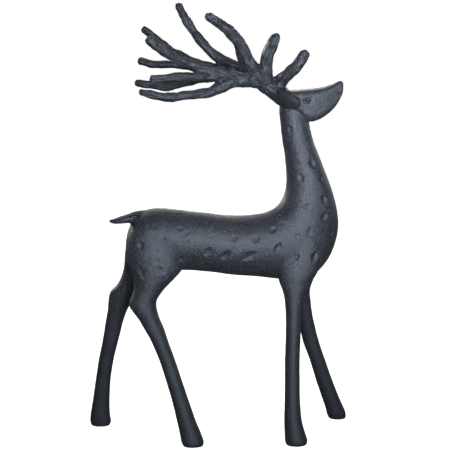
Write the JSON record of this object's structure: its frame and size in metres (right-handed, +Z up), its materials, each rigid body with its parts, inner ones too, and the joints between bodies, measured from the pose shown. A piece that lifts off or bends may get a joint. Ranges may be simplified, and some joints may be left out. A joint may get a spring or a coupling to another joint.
{
  "type": "cast iron stag statue",
  "caption": "Standing stag in cast iron with branching swept-back antlers, a raised flat-sided head, a slim dimpled body and splayed legs that end in flat soles.",
  "frame": {"origin": "middle of the bounding box at floor level, under the figure's barrel", "axes": "+Z up from the soles to the antlers, +X from the tail towards the head, +Y to the stag's left"},
  "size_m": [0.2672, 0.109, 0.4319],
  "materials": {
    "black_cast_iron": "matte charcoal-black coating over an as-cast surface"
  },
  "bodies": {
    "root": {"stag": "black_cast_iron"}
  },
  "joints": []
}
